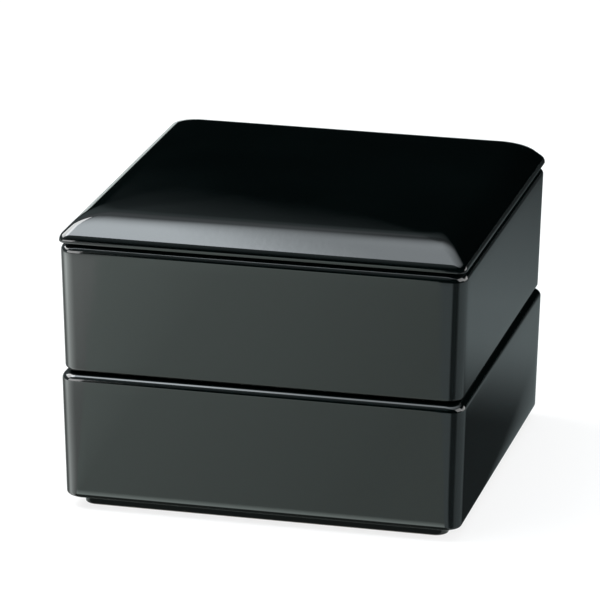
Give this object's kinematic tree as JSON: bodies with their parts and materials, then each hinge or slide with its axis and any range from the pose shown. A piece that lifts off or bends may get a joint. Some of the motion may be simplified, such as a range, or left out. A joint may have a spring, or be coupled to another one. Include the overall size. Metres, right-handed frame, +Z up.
{
  "type": "ceramic jubako",
  "caption": "Square stacking food box in glossy glazed ceramic: leaning, round-cornered tiers with feet that nest in the mouth below, under a lift-off bevelled lid.",
  "frame": {"origin": "on the table, under the middle of the box", "axes": "+Z up through the stack, -Y towards the front face, +X to the right"},
  "size_m": [0.15, 0.15, 0.1122],
  "materials": {
    "lower_tier": "glossy black glaze",
    "upper_tier": "glossy black glaze",
    "lid": "glossy black glaze"
  },
  "bodies": {
    "lower_tier": {"lower_tier": "lower_tier"},
    "upper_tier": {"upper_tier": "upper_tier"},
    "lid": {"lid": "lid"}
  },
  "joints": [
    {"name": "upper_tier_lift", "type": "slide", "parent": "lower_tier", "child": "upper_tier", "axis": [0, 0, 1], "range_m": [0, 0.12]},
    {"name": "lid_lift", "type": "slide", "parent": "upper_tier", "child": "lid", "axis": [0, 0, 1], "range_m": [0, 0.12]}
  ]
}
